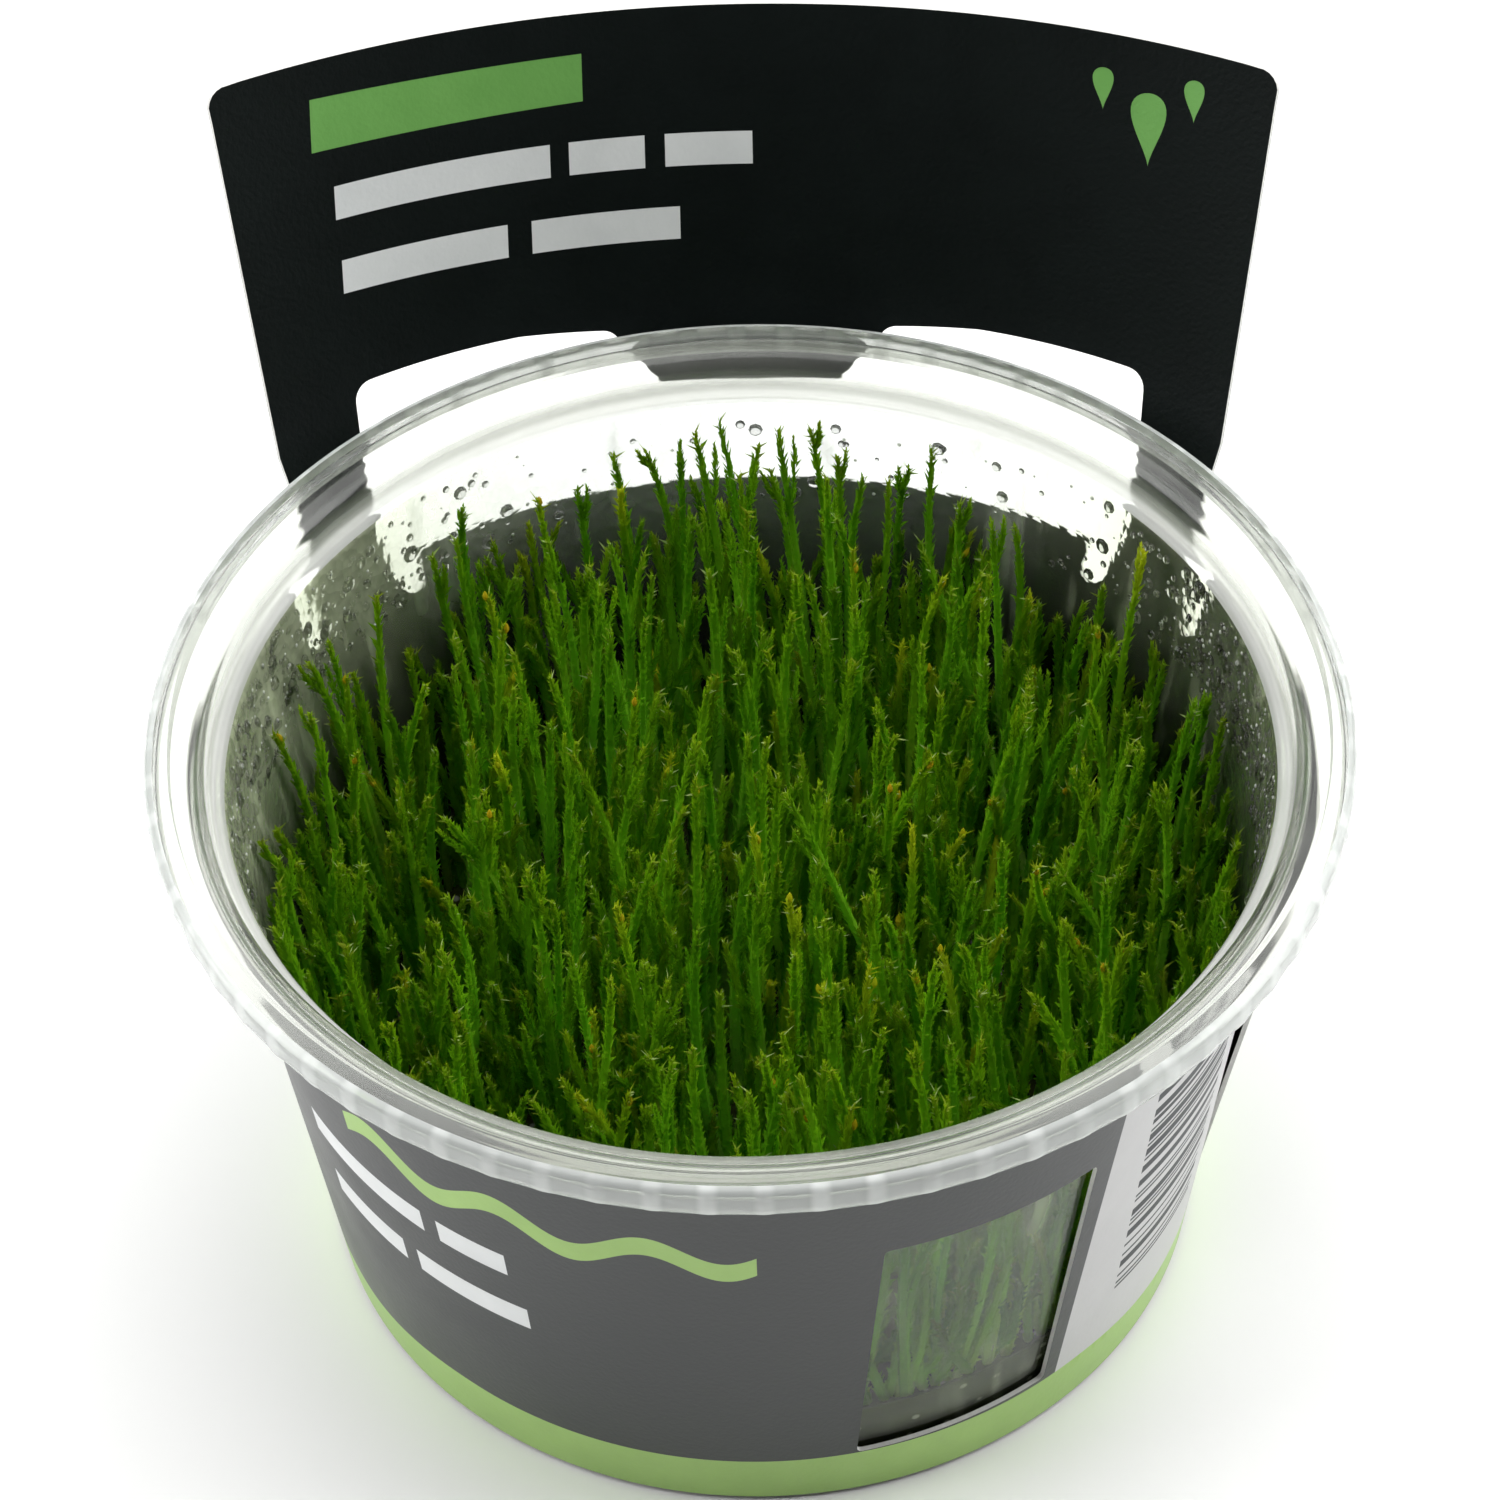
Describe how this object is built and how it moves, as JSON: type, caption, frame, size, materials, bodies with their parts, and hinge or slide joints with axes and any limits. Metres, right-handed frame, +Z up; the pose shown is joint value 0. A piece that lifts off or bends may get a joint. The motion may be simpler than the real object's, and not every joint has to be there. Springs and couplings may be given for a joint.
{
  "type": "tissue culture flame moss in a cup",
  "caption": "Clear round culture cup holding a dense green flame moss cushion on gel, in a dark die-cut card sleeve with a header leaning back behind the open rim.",
  "frame": {"origin": "middle of the whole object's footprint box, on the surface the cup stands on; the cup's own axis is 6.7 mm nearer the front, at Y = -0.0067 m", "axes": "+Z up, -Y the front of the card sleeve, +Y towards the header that leans back, +X to the right as seen from the front"},
  "size_m": [0.101, 0.1144, 0.0838],
  "materials": {
    "cup_plastic": "clear moulded polypropylene, fogged and dewed inside",
    "nutrient_gel": "murky translucent agar gel",
    "moss": "moist living moss, soft sheen",
    "printed_card": "dark printed card under a soft film, pale cut edges"
  },
  "bodies": {
    "root": {"cup": "cup_plastic", "gel": "nutrient_gel", "moss": "moss", "card": "printed_card"}
  },
  "joints": []
}
